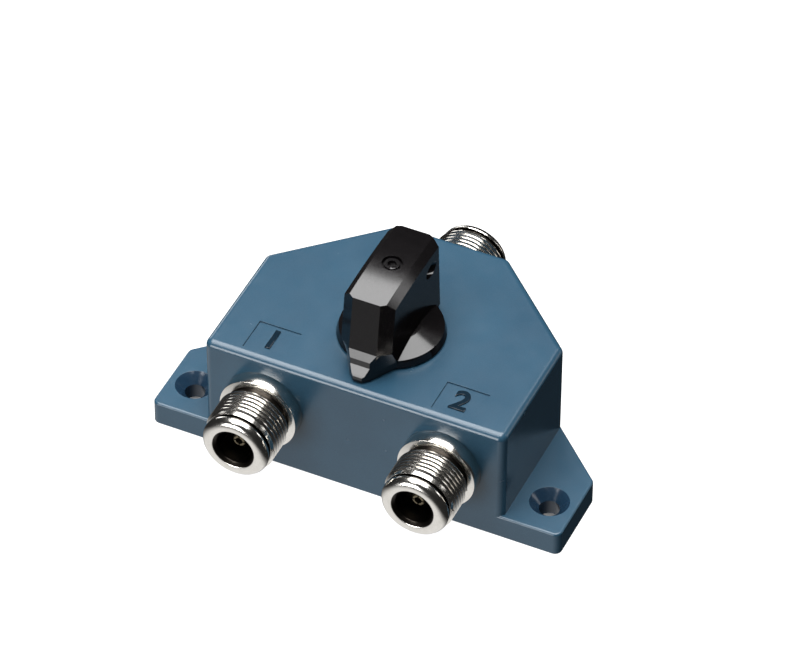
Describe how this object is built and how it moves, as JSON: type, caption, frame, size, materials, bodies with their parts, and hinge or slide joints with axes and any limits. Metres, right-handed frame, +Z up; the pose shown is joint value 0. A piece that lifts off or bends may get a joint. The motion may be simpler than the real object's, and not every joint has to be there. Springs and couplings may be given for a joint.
{
  "type": "coaxial antenna switch",
  "caption": "Die-cast box with two mounting ears, two threaded coaxial jacks in front, one behind, and a pointer knob that turns an inner contact blade between them.",
  "frame": {"origin": "midway between the two mounting holes, on the underside", "axes": "+X right along the line of the mounting holes, +Y from the two front jacks towards the common jack, +Z up along the knob's shaft"},
  "size_m": [0.0936, 0.0768, 0.0478],
  "materials": {
    "painted_casting": "blue-grey metallic paint on a die casting, satin",
    "knob_plastic": "glossy black moulding",
    "nickel_plate": "nickel plate over brass, bright",
    "contact_metal": "gold-plated contact metal",
    "insulator": "white low-loss plastic, matte",
    "plain_brass": "turned brass",
    "cover_metal": "the same paint as the casting",
    "bare_steel": "plain steel"
  },
  "bodies": {
    "switch_body": {"housing": "painted_casting", "cover_plate": "cover_metal", "cover_screw_1": "bare_steel", "cover_screw_2": "bare_steel", "cover_screw_3": "bare_steel", "cover_screw_4": "bare_steel", "jack_body_1": "nickel_plate", "jack_body_2": "nickel_plate", "jack_body_common": "nickel_plate", "jack_contact_1": "contact_metal", "jack_contact_2": "contact_metal", "jack_contact_common": "contact_metal", "jack_insulator_1": "insulator", "jack_insulator_2": "insulator", "jack_insulator_common": "insulator", "jack_washer_1": "nickel_plate", "jack_washer_2": "nickel_plate", "jack_washer_common": "nickel_plate", "jack_nut_1": "nickel_plate", "jack_nut_2": "nickel_plate", "jack_nut_common": "nickel_plate", "bushing": "nickel_plate", "bushing_washer": "nickel_plate", "bushing_nut": "nickel_plate", "detent_ball": "bare_steel", "detent_spring": "bare_steel", "stop_pin": "bare_steel", "fork_1": "contact_metal", "fork_2": "contact_metal", "fork_common": "contact_metal"},
    "knob_and_rotor": {"knob": "knob_plastic", "knob_insert": "plain_brass", "set_screw": "plain_brass", "shaft": "bare_steel", "shaft_clip": "bare_steel", "index_disc": "bare_steel", "rotor_hub": "insulator", "rotor_collar": "insulator", "wiper_blade": "contact_metal"}
  },
  "joints": [
    {"name": "knob_turn", "type": "hinge", "parent": "switch_body", "child": "knob_and_rotor", "pos_m": [0, 0.0104, 0.0283], "axis": [0, 0, 1], "range_deg": [-60, 60]}
  ]
}
